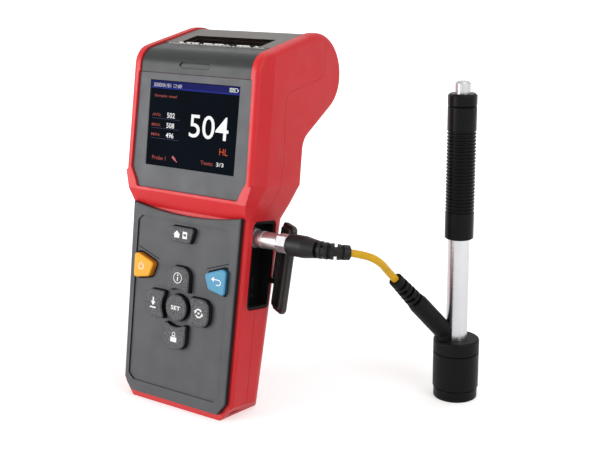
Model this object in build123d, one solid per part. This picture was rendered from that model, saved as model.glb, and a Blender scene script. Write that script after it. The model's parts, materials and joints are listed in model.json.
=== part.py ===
from build123d import *
import math
import os

# Handheld rebound hardness tester with a built-in paper printer, and its impact probe on a short lead.
# Sizes are millimetres and angles degrees. The meter is drawn upright in its own frame, X to the
# right, Y to the back and Z up the handle, and is then leaned back onto its slanted foot.

# Overall
lean = 9.5                      # how far the meter leans back when it stands on its foot
wall = 2.2                      # moulded housing wall
seam = 0.15                     # gap at the parting line of the two housings
running = 0.05                  # radial gap of a shaft or plunger in its guide
loose = 0.3                     # gap round a key, and between parts that move past each other
fit = 0.1                       # gap round a panel or tray set into the housing
beyond = 260.0                  # reach of a cutting tool past the part

# Paper, platen and gears, which set the width of the head
roll_radius, roll_core, roll_wide = 14.0, 6.0, 44.0
paper_thick = 0.25
platen_radius, platen_shaft = 3.5, 1.5
gear_module, gear_wide = 0.5, 1.6
platen_teeth, idler_teeth, motor_teeth = 16, 20, 12
idler_angle, motor_angle = -75.0, -120.0
motor_radius, motor_long = 7.0, 15.0
motor_shaft, motor_boss, idler_stud = 0.75, 2.7, 1.0
ear_thick = 1.6                 # the lid's ears, which carry the platen
ear_in = roll_wide / 2 + 1.6
ear_out = ear_in + ear_thick
gear_out = ear_out + 1.6 + gear_wide
gear_x = gear_wide / 2 - gear_out       # middle of the gear train across the meter
cheek_in = gear_out + 1.9       # inner face of the red cheeks beside the printer
head_rim = 5.0                  # from there to the outside of the head

# Keys, which set the height of the handle
key_rise = 2.0                  # how far a key stands proud of the panel
key_travel = 0.8
key_flange = 1.0
key_lip = 0.8                   # how far the flange reaches out behind the panel
set_radius = 5.8
ring_gap, ring_wide = 2.6, 8.4  # from the middle key to the four round it, and their width
ring_inner = set_radius + ring_gap
ring_outer = ring_inner + ring_wide
ring_centre_z = 45.3
ring_top = ring_centre_z + ring_outer
sheet_thick, dome_radius, dome_tall = 0.2, 2.6, 0.5
board_thick = 1.6

# Handle and head of the housing
foot_front = -15.0              # Y of the line where the foot's plane meets height 0
foot_corner = 5.9               # the foot is this much narrower than the handle, a side
handle_front = -12.5
handle_half_top, handle_taper = 31.5, 1.0
handle_half_bottom = handle_half_top - handle_taper
handle_back_top, handle_back_bottom = 15.6, 9.4
handle_top = ring_top + 24.4
chin_top = handle_top + 7.0     # the front steps forward between handle and head
head_bottom = chin_top + 8.0
head_front = handle_front - 3.5
head_half_top = cheek_in + head_rim
head_half_bottom = head_half_top + 1.0
head_back = handle_back_top + 2.4       # back of the head below the paper drum
handle_corner = 7.0             # rounding of the handle's rear corners
head_corner = 3.0
brow_radius = 9.0
drum_edge = 2.5                 # rounding of the drum's side edges
top_slope = 0.345               # rise of the top towards the back

# Screen and bezel, which set the height of the head
screen_wide, screen_tall = 48.96, 36.72
bezel_thick = 1.8
bezel_front = head_front + 1.0
bezel_back = bezel_front + bezel_thick
bezel_rim = 4.5                 # red of the head beside the bezel
bezel_half_top, bezel_half_low = head_half_top - bezel_rim, head_half_bottom - bezel_rim
bezel_half_foot = handle_half_top - 3.5
bezel_foot = head_bottom - 6.6
bezel_chamfer_z = bezel_foot + 2.2
bezel_low = head_bottom + 1.5
screen_low = bezel_low + 1.74
screen_top = screen_low + screen_tall
bezel_top = screen_top + 3.04
display_half = screen_wide / 2 + 2.72
display_low, display_high = screen_low - 3.34, screen_top + 2.74
window_thin = 1.0               # glass over the display
module_thick, module_stud = 2.1, 0.3
ledge_thick = 1.6               # seat of the bezel in the front housing
ledge_back = bezel_back + ledge_thick
ledge_top = bezel_top + 3.5

# Keypad panel
panel_thick = 2.5
panel_half_top, panel_half_bottom = handle_half_top - 1.7, handle_half_bottom - 1.8
panel_top = handle_top + 1.3
panel_top_middle = panel_top - 2.9
panel_bottom = 3.4
panel_corner_z, panel_corner_x = panel_bottom + 5.2, panel_half_bottom - 3.9
panel_field_depth = 0.7         # the sunk field that the keys stand in
field_low, field_high = panel_bottom + 5.0, handle_top - 4.1
field_left, field_right = panel_half_bottom - 2.2, panel_half_bottom - 3.2
keypad_half, keypad_low, keypad_high = panel_half_bottom - 1.5, panel_bottom + 5.1, handle_top - 2.7

# Paper drum
slot_front, slot_back = -3.2, -1.3
drum_radius = roll_radius + wall + 2.3
platen_y = slot_back + 5.9
roll_y = platen_y + platen_radius + 2.0 + roll_radius
drum_centre = (roll_y + 0.4, bezel_top + 3.9)   # Y and Z of the rounded paper compartment
roll_centre = (roll_y, drum_centre[1] - 0.7)
platen_centre = (platen_y, drum_centre[1] + 3.0)
drum_back = drum_centre[0] + drum_radius
drum_low_radius = drum_radius - 2.5
drum_low_corner = (drum_back, drum_centre[1] + 10.5 - drum_radius)
throat_corner = (head_back, drum_centre[1] - 9.1 - drum_radius)     # the drum's underside meets the back
top_proud = 0.0129641           # the flat top lies this much above the circle of the drum
parting = [(-2.0, -20.0), (-2.0, handle_top + 1.5), (2.0, head_bottom - 1.5), (3.0, head_bottom + 11.1),
           (1.6, bezel_top - 8.3), (3.0, bezel_top - 4.0), (drum_centre[0] + 1.0, drum_centre[1] - 0.9),
           (drum_centre[0] + 4.3, drum_centre[1] + 1.6), (drum_centre[0] + 2.1, drum_centre[1] + 51.6)]

# Printer covers and lid
cover_half = cheek_in - loose
cheek_wall = head_half_top - wall + fit - cheek_in
skin_drop = 0.7                 # the printer covers lie this far below the cheeks
skin = 2.2
thumb_deep, thumb_tall = 1.2, 2.7
thumb_low = bezel_top + 2.5
thumb_high = thumb_low + thumb_tall
hinge_radius = 1.9
hinge_angle = 20.0              # round the drum, from straight up towards the back
pin_radius = 1.0
pin_reach = cheek_in + 1.7      # half the length of the lid's hinge pin
window_half = roll_wide / 2
window_front, window_deep, window_thick = slot_back + 1.2, 10.7, 1.6
window_back = window_front + window_deep
window_shelf, window_sunk = 1.2, 0.15
bar_rise, bar_teeth, bar_half = 0.6, 24, cheek_in - 3.9

# Screws, as (x, z) on the right half
screw_post, screw_hole, screw_shank, screw_head = 2.9, 1.05, 1.0, 2.6
screw_sink = 3.4                # how deep the screw heads sit below the back
screw_long = 14.0
screw_cap = 1.6                 # thickness of a screw's head
screw_right = [(handle_half_bottom - 5.2, 13.0), (handle_half_top - 4.3, handle_top + 6.5)]
screw_spots = [(side * x, z) for x, z in screw_right for side in (-1, 1)]

# Port recess in the right-hand side, with its rubber cover
plug_radius = 3.5
port_depth, port_wide, port_tall = 6.0, 15.8, 37.8
tray_wall = 1.2
socket_radius, socket_bore = plug_radius + 0.8, plug_radius - 0.4
socket_nut = socket_radius + 1.1        # radius of the nut behind the tray
port_high = handle_top - 0.2
port_low = port_high - port_tall
socket_y, socket_z = -3.5, port_high - 7.2
port_front = socket_y - socket_radius
port_back = port_front + port_wide
usb_y, usb_z, usb_deep = socket_y + 3.5, port_low + 8.5, 6.0
flap_angle = -35.0              # direction of the open flap, measured from straight out towards the back
flap_wide, flap_tall, flap_thick = port_wide - 2.8, port_tall + 0.2, 2.2
flap_hinge = (handle_half_top + 1.4, port_back + 1.2)
flap_tilt = 4.0                 # the hinge leans out at its top by this much
bracket_half, bracket_tall, bracket_out = 1.3, 2.2, 6.3
cover_pin, cover_eye = 0.6, 1.3
hinge_foot_x = flap_hinge[0] - 3.3

# Board and battery
board_front = max(handle_front + 2 * loose + key_flange + key_travel + 0.65,
                  bezel_back + 1.1 + module_thick + module_stud + 0.25)
board_half = handle_half_top - port_depth - tray_wall - loose
battery_half = handle_half_top - port_depth - usb_deep - 1.0

# Plug and lead
plug_ring = plug_radius + 0.6
boot_radius = 4.6
nut_start = handle_half_top + 10.5
boot_start = nut_start + 5.2
boot_end = boot_start + 13.8
relief_bend, relief_radius = 54.0, 14.0
relief_tilt = 10.0              # the relief bends back and this much down
relief_thick, relief_tip_radius = 3.7, 3.0
relief_steps = 11               # windows and rings in turn, the last two steps make the collar
relief_core, relief_rib = 2.0, 2.6
cable_diameter = 3.2
cable_route = [(72.34, 16.76, 75.11), (77.07, 23.18, 73.98), (79.41, 29.97, 70.25), (79.31, 36.78, 62.74),
               (80.695, 39.987, 59.015)]    # chosen by hand, from the relief's end to the probe's arm

# Impact probe, standing on the floor, from the stem outwards
probe_x, probe_y = 95.3, 68.6
stem_radius = 1.25
chuck_in = stem_radius + 0.35
chuck_out = chuck_in + 0.5
loading_wire, impact_wire, release_wire = 0.6, 0.5, 0.45
tube_bore = chuck_out + 1.4
tube_radius = tube_bore + 1.15
sleeve_radius = tube_radius + 1.5
body_radius, body_long, stem_long = tube_bore - running, 23.0, 25.0
ball_radius = 1.5
ball_height = 0.6               # lowest point of the ball above the floor
ball_sunk = 0.6                 # how far the ball sits in the impact body
stem_grip = 2.0                 # length of the stem that the pressed chuck takes hold of
base_radius = 10.0
ring_radius, ring_tall = base_radius - 0.4, 4.7
groove = 0.5
base_split = 21.4
base_top = base_split + 5.8
tube_top = 97.0
sleeve_travel, button_travel = 22.0, 3.0
sleeve_low = tube_top - sleeve_travel - 2.3
flange_low = tube_top + sleeve_travel + 1.0
flange_high = flange_low + 2.0
chamber_high = flange_high + button_travel + 2.0
sleeve_split = chamber_high + 2.6
sleeve_top = sleeve_split + 5.2
rib_low, rib_high, rib_count = sleeve_low + 11.6, sleeve_split - 9.9, 24
button_radius, button_top = 3.25, sleeve_top + button_travel + 2.0
button_flange = button_radius + 0.45
chamber_bore = button_flange + 0.4
elbow_offset = (-4.0, -4.0)
elbow_z = base_top + 3.3
arm_radius, arm_tip_radius = 4.2, 3.0
arm_relief = 15.0               # length of the arm's slotted end
arm_end = (80.7, 40.0, 59.0)

# How the standing meter lies to its own upright frame
foot_y = (handle_front + handle_back_bottom) / 2 - 0.3
foot_z = (foot_y - foot_front) * math.tan(math.radians(lean))
to_floor = Rot(-lean, 0, 0) * Pos(0, -foot_y, -foot_z)

probe_nodes = ["support_ring", "coil_housing", "sensing_coil", "guide_tube", "cable_outlet", "impact_body",
               "ball_tip", "spring_seat", "impact_spring", "loading_spring", "catch_chuck", "loading_sleeve",
               "sleeve_cap", "release_button", "release_spring"]
lead_nodes = ["plug_shell", "plug_nut", "plug_boot", "probe_cable"]
parts = {}


# Drawing helpers
def side_outline(points, radii=0.0, x=0.0):
    """Face from (y, z) points, seen from the right."""
    plane = Plane(origin=(x, 0, 0), x_dir=(0, 1, 0), z_dir=(1, 0, 0))
    return plane * make_face(FilletPolyline(*points, radius=radii, close=True))


def front_outline(points, radii=0.0, y=0.0):
    """Face from (x, z) points, seen from the front and facing it."""
    plane = Plane(origin=(0, y, 0), x_dir=(1, 0, 0), z_dir=(0, -1, 0))
    return plane * make_face(FilletPolyline(*points, radius=radii, close=True))


def front_plane(y, x=0.0, z=0.0):
    return Plane(origin=(x, y, z), x_dir=(1, 0, 0), z_dir=(0, -1, 0))


def right_plane(x, y=0.0, z=0.0):
    return Plane(origin=(x, y, z), x_dir=(0, 1, 0), z_dir=(1, 0, 0))


def box(x0, x1, y0, y1, z0, z1):
    """Block between two corners."""
    return Pos((x0 + x1) / 2, (y0 + y1) / 2, (z0 + z1) / 2) * Box(x1 - x0, y1 - y0, z1 - z0)


def rod_x(x0, x1, y, z, radius, bore=0.0):
    """Round bar or tube along X."""
    face = Circle(radius) - Circle(bore) if bore else Circle(radius)
    return extrude(right_plane(x0, y, z) * face, x1 - x0)


def rod_y(y0, y1, x, z, radius, bore=0.0):
    """Round bar or tube along Y, from y0 at the front to y1 at the back."""
    face = Circle(radius) - Circle(bore) if bore else Circle(radius)
    return extrude(front_plane(y1, x, z) * face, y1 - y0)


def turned(profile, radii=0.0):
    """Solid of revolution about Z from (radius, z) points."""
    return revolve(Plane.XZ * make_face(FilletPolyline(*profile, radius=radii, close=True)), Axis.Z)


def mirrored(points):
    """Right half of an outline, bottom to top, made into the whole outline."""
    return points + [(-x, z) for x, z in reversed(points)]


# Housing form
def across(z, half, front, back, facet_x, facet_y, corner):
    """Section of the housing at height z: faceted front edges, rounded rear corners."""
    points = [(-half + facet_x, front), (half - facet_x, front), (half, front + facet_y), (half, back),
              (-half, back), (-half, front + facet_y)]
    plane = Plane(origin=(0, 0, z))
    return plane * make_face(FilletPolyline(*points, radius=[0, 0, 0, corner, corner, 0], close=True))


def half_at(z, low_z, high_z, low, high):
    """Straight taper between two heights."""
    return low + (high - low) * (z - low_z) / (high_z - low_z)


def top_line(y, drop=0.0):
    """Height of the straight part of the top at depth y, lowered square to the slope by drop."""
    over_drum = drum_centre[1] + (drum_radius - drop) * math.hypot(1, top_slope) + top_proud
    return over_drum + top_slope * (y - drum_centre[0])


def head_profile(inset=0.0):
    """Side view of the head with the paper drum, as a face on the middle plane."""
    corner = [(head_front, head_bottom - 8 - 20), (head_front, top_line(head_front)),
              (drum_back, top_line(drum_back)), drum_low_corner, throat_corner,
              (head_back, head_bottom - 8 - 20)]
    face = side_outline(corner, [0, brow_radius, drum_radius, drum_low_radius, 8.0, 0])
    return offset(face, -inset) if inset else face


def housing_form(inset=0.0):
    """Outer form of both housings together, or the space inside them."""
    facet_handle, facet_head = (0.8, 1.6), (1.6, 8.5)
    deep = -12.0
    back_deep = half_at(deep, 0, handle_top, handle_back_bottom, handle_back_top)
    half_deep = half_at(deep, 0, handle_top, handle_half_bottom, handle_half_top)
    levels = [
        (deep, half_deep, handle_front, back_deep, facet_handle, handle_corner),
        (handle_top, handle_half_top, handle_front, handle_back_top, facet_handle, handle_corner),
        (chin_top, (handle_half_top + head_half_bottom) / 2, head_front, (handle_back_top + head_back) / 2,
         (1.4, 6.0), (handle_corner + head_corner) / 2),
        (head_bottom, head_half_bottom, head_front, head_back, facet_head, head_corner),
    ]
    faces = [across(z, half - inset, front + inset, back - inset, fx, fy, corner - inset / 2)
             for z, half, front, back, (fx, fy), corner in levels]
    form = loft([faces[0], faces[1]], ruled=True)
    for low, high in zip(faces[1:], faces[2:]):
        form += loft([low, high], ruled=True)
    head_top = top_line(drum_back) + 4
    lower = across(head_bottom, head_half_bottom - inset, head_front + inset, 60, *facet_head, head_corner)
    upper = across(head_top, head_half_top - inset, head_front + inset, 60, *facet_head, head_corner)
    head = loft([lower, upper], ruled=True) & extrude(head_profile(inset), 60, both=True)
    if not inset:
        rim = head.edges().filter_by(
            lambda e: e.center().Y > head_front + 1 and e.center().Z > head_bottom + 1
            and abs(e.center().X) > cheek_in)
        head = fillet(rim, drum_edge)
    form += head
    bottom = [(handle_half_bottom - foot_corner, 0.0), (handle_half_bottom + 0.5, 7.6), (beyond, 7.7),
              (beyond, beyond)]
    form &= extrude(front_outline(mirrored(bottom), [1.5, 3, 0, 0, 0, 0, 3, 1.5], 80), 160)
    return form - under_foot(inset)


def under_foot(rise=0.0):
    """Everything below the foot's slanted plane, or below a plane that is rise higher."""
    return Pos(0, foot_front, 0) * Rot(lean, 0, 0) * Pos(0, 0, rise - 50) * Box(300, 300, 100)


def slab(points, back, front, radii=0.0):
    """Plate with an (x, z) outline between two depths."""
    return extrude(front_outline(points, radii, back), back - front)


def strip(drop_out, drop_in, region):
    """Skin that follows the head's top between two depths below it, inside a (y, z) region."""
    ring = head_profile(drop_out) - head_profile(drop_in)
    return extrude(ring & side_outline(region), cover_half, both=True)


def far_point(angle, reach):
    """Point at a distance from the drum's centre, angle from straight up towards the back."""
    a = math.radians(angle)
    return (drum_centre[0] + reach * math.sin(a), drum_centre[1] + reach * math.cos(a))


# Housings
def bezel_outline(grow=0.0):
    points = mirrored([(bezel_half_foot, bezel_foot), (bezel_half_foot + 0.6, bezel_chamfer_z),
                       (bezel_half_low, bezel_low), (bezel_half_top, bezel_top)])
    face = front_outline(points, [1.0, 1.5, 2, 0, 0, 2, 1.5, 1.0])
    return offset(face, grow) if grow else face


def port_outline(grow=0.0):
    points = [(port_front, port_low), (port_back, port_low), (port_back, port_high), (port_front, port_high)]
    face = side_outline(points, [2.5, 2.5, 2.5, 2.5])
    return offset(face, grow) if grow else face


def hinge_centre():
    return far_point(hinge_angle, drum_radius - skin_drop - hinge_radius)


def back_at(z):
    """Depth of the housing's back at height z on the handle or neck."""
    if z < handle_top:
        return half_at(z, 0, handle_top, handle_back_bottom, handle_back_top)
    return half_at(z, handle_top, head_bottom, handle_back_top, head_back)


def housings():
    outer, inner = housing_form(), housing_form(wall)
    shell = outer - inner
    under_cover = head_front + skin_drop + skin + running
    ledge = box(-head_half_bottom, head_half_bottom, bezel_back, ledge_back, bezel_foot - 2.9, bezel_top)
    ledge += box(-cheek_in, cheek_in, under_cover, ledge_back, bezel_top, ledge_top)
    ledge = (ledge & inner) - box(-display_half, display_half, -20, 0, display_low, display_high)
    hinge_y, hinge_z = hinge_centre()
    shell -= extrude(bezel_outline(fit), 30, both=True) & box(-beyond, beyond, -30, bezel_back, 0, beyond)
    shell -= box(-display_half, display_half, -30, bezel_back + 8, display_low, display_high)
    shell -= extrude(offset(panel_outline(), fit), 10)
    shell -= box(-keypad_half, keypad_half, -30, handle_front + wall + 1.3, keypad_low, keypad_high)
    shell -= box(-cheek_in, cheek_in, -30, hinge_y, bezel_top, beyond)
    cheeks = box(cheek_in, cheek_in + cheek_wall, head_front, 60, bezel_top, beyond)
    cheeks += mirror(cheeks, Plane.YZ)
    back_y, back_z = drum_centre
    beside = [(-30, bezel_top), (back_y + 6.0, bezel_top), (back_y + 11.5, back_z + 9.6),
              (back_y + 11.5, beyond), (-30, beyond)]
    shell += cheeks & outer & extrude(side_outline(beside), 60, both=True)
    shell += ledge
    shell -= extrude(port_outline(fit), 60) & box(board_half - 4, 60, -30, 60, 0, beyond)
    groove_radius = hinge_radius + loose + fit
    shell -= rod_x(-cheek_in, cheek_in, hinge_y, hinge_z, groove_radius)
    shell -= box(-cheek_in, cheek_in, hinge_y, hinge_y + groove_radius + 2 * loose, hinge_z, beyond)
    shell -= rod_x(-pin_reach - running, pin_reach + running, hinge_y, hinge_z, pin_radius)
    rear_region = extrude(side_outline(parting + [(100, beyond), (100, -20)]), 80, both=True)
    front_side = [(y - seam, z) for y, z in parting] + [(-60, beyond), (-60, -20)]
    front_region = extrude(side_outline(front_side), 80, both=True)
    front, rear = shell & front_region, shell & rear_region
    for x, z in screw_spots:
        back = back_at(z)
        meet = parting_at(z)
        post_front = handle_front if z < handle_top else bezel_back + 0.2
        front += rod_y(post_front, meet - seam, x, z, screw_post) & outer
        front -= rod_y(meet - screw_long + 5, meet, x, z, screw_hole)
        rear += rod_y(meet, back, x, z, screw_post + 0.8) & outer
        rear -= rod_y(meet - 1, back + 5, x, z, screw_hole + 0.15)
        rear -= rod_y(back - screw_sink - screw_cap, back + 5, x, z, screw_head + 0.2)
    for pocket in hinge_pockets():
        rear -= pocket
    parts["front_housing"] = front
    parts["rear_housing"] = rear
    screws = []
    for x, z in screw_spots:
        seat = back_at(z) - screw_sink - screw_cap
        screw = rod_y(seat, seat + screw_cap, x, z, screw_head)
        screw += rod_y(parting_at(z) - screw_long + 6, seat, x, z, screw_shank)
        slot = Pos(x, seat + screw_cap, z) * (Box(3.2, 1.4, 0.7) + Box(0.7, 1.4, 3.2))
        screws.append(screw - slot)
    parts["housing_screws"] = Compound([screw.solid() for screw in screws])


def parting_at(z):
    """Depth of the parting line at height z on the handle or neck."""
    for (y0, z0), (y1, z1) in zip(parting, parting[1:]):
        if z0 <= z <= z1:
            return half_at(z, z0, z1, y0, y1)


# Display
def display():
    bezel = Pos(0, bezel_back, 0) * extrude(bezel_outline(), bezel_thick)
    bezel -= box(-screen_wide / 2, screen_wide / 2, -30, 0, screen_low, screen_top)
    parts["display_bezel"] = bezel
    glass = display_half - 0.6
    parts["display_window"] = box(-glass, glass, bezel_back, bezel_back + window_thin, screen_low - 1.6,
                                  screen_top + 1.6)
    half, front = display_half - 0.4, bezel_back + window_thin + 0.1
    back = front + module_thick
    module = box(-half, half, front, back, display_low + 0.4, display_high - 0.4)
    module += box(-9, 9, back, back + module_stud, display_low + 1.6, display_low + 10.6)
    parts["display_module"] = module


# Keypad
def panel_outline():
    side_low, side_top = (panel_half_bottom, panel_corner_z), (panel_half_top, panel_top)
    foot = (panel_corner_x, panel_bottom)
    edges = [Line((-foot[0], foot[1]), foot), Line(foot, side_low), Line(side_low, side_top),
             ThreePointArc(side_top, (0, panel_top_middle), (-side_top[0], side_top[1])),
             Line((-side_top[0], side_top[1]), (-side_low[0], side_low[1])),
             Line((-side_low[0], side_low[1]), (-foot[0], foot[1]))]
    return front_plane(handle_front) * make_face(edges)


def field_outline():
    """The sunk field of the keypad, inside the panel's raised border."""
    left, right, low, high = field_left, field_right, field_low, field_high
    points = [(3.2 - left, low), (right - 2.9, low), (right, low + 2.4), (right, high - 3.4),
              (right - 2.2, high), (2.2 - left, high), (-left, high - 2.3), (-left, low + 2.4)]
    return front_outline(points, [1] * 8, handle_front)


def arrow_key(angle):
    """One of the four keys round the middle key, turned to its place."""
    middle = (ring_inner + ring_outer) / 2
    face = Pos(middle, 0) * Rectangle(ring_outer - ring_inner + 2.4, 12.0)
    face = fillet(face.vertices().group_by(Axis.X)[-1], 4.2) - Circle(ring_inner)
    face &= Pos(ring_inner + 1, 0) * Circle(ring_outer - ring_inner + 1.5)
    return front_plane(handle_front, 0, ring_centre_z) * Rot(0, 0, angle) * face


def key_outlines():
    out, up = panel_half_bottom - 2.9, ring_centre_z
    corner_key = [(-out, up + 20.1), (2.4 - out, up + 20.5), (11.6 - out, up + 17.3), (9.1 - out, up + 11.0),
                  (0.2 - out, up + 9.3)]
    other_key = [(-x, z) for x, z in reversed(corner_key)]
    home_low, home_high = ring_top + 11.6, ring_top + 18.2
    home = [(-5.0, home_low), (5.0, home_low), (7.0, home_high), (-7.0, home_high)]
    return {
        "home_key": front_outline(home, 1.2, handle_front),
        "power_key": front_outline(corner_key, 1.5, handle_front),
        "back_key": front_outline(other_key, 1.5, handle_front),
        "info_key": arrow_key(90),
        "down_key": arrow_key(180),
        "set_key": front_plane(handle_front, 0, ring_centre_z) * Circle(set_radius),
        "cycle_key": arrow_key(0),
        "print_key": arrow_key(-90),
    }


def keypad():
    panel = extrude(panel_outline(), panel_thick)
    panel = chamfer(panel.faces().sort_by(Axis.Y)[0].outer_wire().edges(), 0.4)
    top = handle_front - panel_thick
    panel -= extrude(field_outline(), 10) - box(-60, 60, top + panel_field_depth, 20, 0, beyond)
    for name, face in key_outlines().items():
        panel -= extrude(offset(face, loose), 10)
        lip = extrude(offset(face, key_lip), key_flange)
        key = extrude(face, panel_thick + key_rise)
        key = chamfer(key.faces().sort_by(Axis.Y)[0].edges(), 0.45)
        key += Pos(0, key_flange + loose, 0) * lip
        key += Pos(0, loose, 0) * extrude(face, loose)
        parts[name] = key
    parts["keypad_panel"] = panel
    press = handle_front + loose + key_flange + key_travel + loose
    sheet_front = press + 0.35
    corners = mirrored([(keypad_half - 3.2, keypad_low + 1.5), (keypad_half - 3.2, keypad_high - 1.3)])
    sheet = slab(corners, sheet_front + sheet_thick, sheet_front, [1, 1, 1, 1])
    for face in key_outlines().values():
        middle = face.center()
        sheet += Pos(middle.X, sheet_front, middle.Z) * Rot(90, 0, 0) * Cylinder(dome_radius, dome_tall)
    for x, z in screw_spots:
        sheet -= rod_y(-20, 20, x, z, screw_post + loose)
    parts["dome_sheet"] = sheet - box(-60, 60, sheet_front + sheet_thick, 20, 0, beyond)


# Electronics and battery
def electronics():
    back = board_front + board_thick
    board = box(-board_half, board_half, board_front, back, keypad_low - 0.5, display_high - 5.2)
    for x, z in screw_spots:
        board -= rod_y(-20, 20, x, z, screw_post + loose)
    board -= rod_x(10, 40, socket_y, socket_z, socket_nut + loose)
    chips = [(-12, 30, 7.5, 7.5), (6, 24, 10, 6), (-4, head_bottom - 5.5, 12, 12),
             (12, head_bottom + 10.5, 6, 9), (-14, head_bottom + 16.5, 7, 5)]
    for x, z, wide, tall in chips:
        board += box(x - wide / 2, x + wide / 2, back, back + 1.0, z - tall / 2, z + tall / 2)
    parts["main_board"] = board
    pack = box(-battery_half, battery_half, back + 1.3, back + 13.3, 9.0, 64.0)
    pack = fillet(pack.edges().filter_by(Axis.Z), 2.0)
    pack += box(-10, 10, back + 1.8, back + 10.3, 64.0, 67.0)
    parts["battery_pack"] = pack


# Side port
def hinge_feet():
    """Lower and upper heights of the two brackets that hold the rubber cover's pin."""
    middle = (port_low + port_high) / 2
    return [(middle - bracket_out - bracket_tall, middle - bracket_out),
            (middle + bracket_out, middle + bracket_out + bracket_tall)]


def flap_lean():
    """Leans the rubber cover and its hinge out about the hinge's middle."""
    pivot = Vector(*flap_hinge, (port_low + port_high) / 2)
    return Pos(pivot) * Rot(0, flap_tilt, 0) * Pos(-pivot)


def hinge_pockets():
    """Room in the housing's side for the two feet of the cover's hinge."""
    low, high = flap_hinge[1] - bracket_half - running, flap_hinge[1] + bracket_half + running
    return [flap_lean() * box(hinge_foot_x - running, 60, low, high, z0 - running, z1 + running)
            for z0, z1 in hinge_feet()]


def port():
    floor = half_at(port_high, 0, handle_top, handle_half_bottom, handle_half_top) - port_depth
    outer = Pos(floor - tray_wall, 0, 0) * extrude(port_outline(), port_depth + tray_wall - 0.6)
    inner = Pos(floor, 0, 0) * extrude(port_outline(-tray_wall), port_depth + 5)
    tray = outer - inner
    tray -= rod_x(0, 40, socket_y, socket_z, socket_radius + running)
    tray -= box(0, 40, usb_y - 2.1, usb_y + 2.1, usb_z - 5.0, usb_z + 5.0)
    tray &= housing_form(0.3)
    for pocket in hinge_pockets():
        tray -= pocket
    parts["port_tray"] = tray
    socket = rod_x(floor - 9, floor + 3.2, socket_y, socket_z, socket_radius)
    socket += rod_x(floor - tray_wall - 1.6, floor - tray_wall, socket_y, socket_z, socket_nut)
    socket -= rod_x(floor - 6, floor + 10, socket_y, socket_z, socket_bore)
    for angle in (45, 135, 225, 315):
        pin_y = socket_y + (socket_bore - 1.1) * math.cos(math.radians(angle))
        pin_z = socket_z + (socket_bore - 1.1) * math.sin(math.radians(angle))
        socket += rod_x(floor - 11, floor - 5, pin_y, pin_z, 0.4)
    parts["probe_socket"] = socket
    shell = box(floor - usb_deep, floor + 0.6, usb_y - 2.0, usb_y + 2.0, usb_z - 4.6, usb_z + 4.6)
    shell -= box(floor - usb_deep + 1, floor + 2, usb_y - 1.5, usb_y + 1.5, usb_z - 4.1, usb_z + 4.1)
    shell += box(floor - usb_deep + 0.8, floor, usb_y - 0.4, usb_y + 0.4, usb_z - 3.2, usb_z + 3.2)
    parts["usb_socket"] = shell
    # Rubber cover, drawn closed along the side and turned out about its hinge
    hinge_x, hinge_y = flap_hinge
    middle = (port_low + port_high) / 2
    outline = RectangleRounded(flap_wide, flap_tall, 2.4)
    plate = extrude(right_plane(hinge_x, hinge_y - flap_wide / 2 - 0.4, middle) * outline, flap_thick)
    plate = chamfer(plate.faces().sort_by(Axis.X)[-1].edges(), 0.7)
    for z0, z1 in hinge_feet():
        clear = Plane(origin=(hinge_x, hinge_y, z0 - loose))
        plate -= extrude(clear * Circle(bracket_half + loose), z1 - z0 + 2 * loose)
    lip = RectangleRounded(flap_wide - 3.0, flap_tall - 3.4, 1.6)
    lip -= RectangleRounded(flap_wide - 5, flap_tall - 5.4, 1)
    plate += Pos(hinge_x - 1.2, hinge_y - flap_wide / 2 - 0.4, middle) * (Plane.YZ * extrude(lip, 1.2))
    eye_low, eye_high = middle - bracket_out + loose, middle + bracket_out - loose
    strap = box(hinge_x + 0.2, hinge_x + flap_thick - 0.2, hinge_y - 1.6, hinge_y + 1.0, eye_low, eye_high)
    turn = Pos(hinge_x, hinge_y, 0) * Rot(0, 0, 90 + flap_angle) * Pos(-hinge_x, -hinge_y, 0)
    cover = turn * (plate + strap)
    cover += extrude(Plane(origin=(hinge_x, hinge_y, eye_low)) * Circle(cover_eye), eye_high - eye_low)
    bore = Circle(cover_pin + running)
    cover -= extrude(Plane(origin=(hinge_x, hinge_y, eye_low - 1)) * bore, eye_high - eye_low + 2)
    parts["port_cover"] = flap_lean() * cover
    pin_low, pin_high = hinge_feet()[0][0], hinge_feet()[1][1]
    post = extrude(Plane(origin=(hinge_x, hinge_y, pin_low)) * Circle(cover_pin), pin_high - pin_low)
    for z0, z1 in hinge_feet():
        post += extrude(Plane(origin=(hinge_x, hinge_y, z0)) * Circle(bracket_half), z1 - z0)
        post += box(hinge_foot_x, hinge_x, hinge_y - bracket_half, hinge_y + bracket_half, z0, z1)
    parts["cover_hinge"] = flap_lean() * post


# Printer
def gear(teeth, x0, x1, bore, turn=0.0):
    """Spur gear about X, with involute flanks of 25 degree pressure angle."""
    pitch = gear_module * teeth / 2
    base = pitch * math.cos(math.radians(25))
    tip, root = pitch + 0.8 * gear_module, pitch - 1.1 * gear_module
    backlash = 0.14
    half_tooth = (math.pi * gear_module / 2 - backlash) / 2 / pitch

    def involute(radius):
        roll = math.sqrt(max((radius / base) ** 2 - 1, 0))
        return roll - math.atan(roll)

    flank = [max(base, root) + (tip - max(base, root)) * i / 4 for i in range(5)]
    points = []
    for tooth in range(teeth):
        middle = 2 * math.pi * tooth / teeth + math.radians(turn)
        offsets = [half_tooth + involute(pitch) - involute(r) for r in flank]
        if root < base:
            flank_r, flank_o = [root] + flank, [offsets[0]] + offsets
        else:
            flank_r, flank_o = flank, offsets
        for r, o in zip(flank_r, flank_o):
            points.append((r * math.cos(middle - o), r * math.sin(middle - o)))
        for r, o in zip(reversed(flank_r), reversed(flank_o)):
            points.append((r * math.cos(middle + o), r * math.sin(middle + o)))
    face = make_face(Polyline(*points, close=True))
    if bore:
        face -= Circle(bore)
    return extrude(right_plane(x0) * face, x1 - x0)


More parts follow.
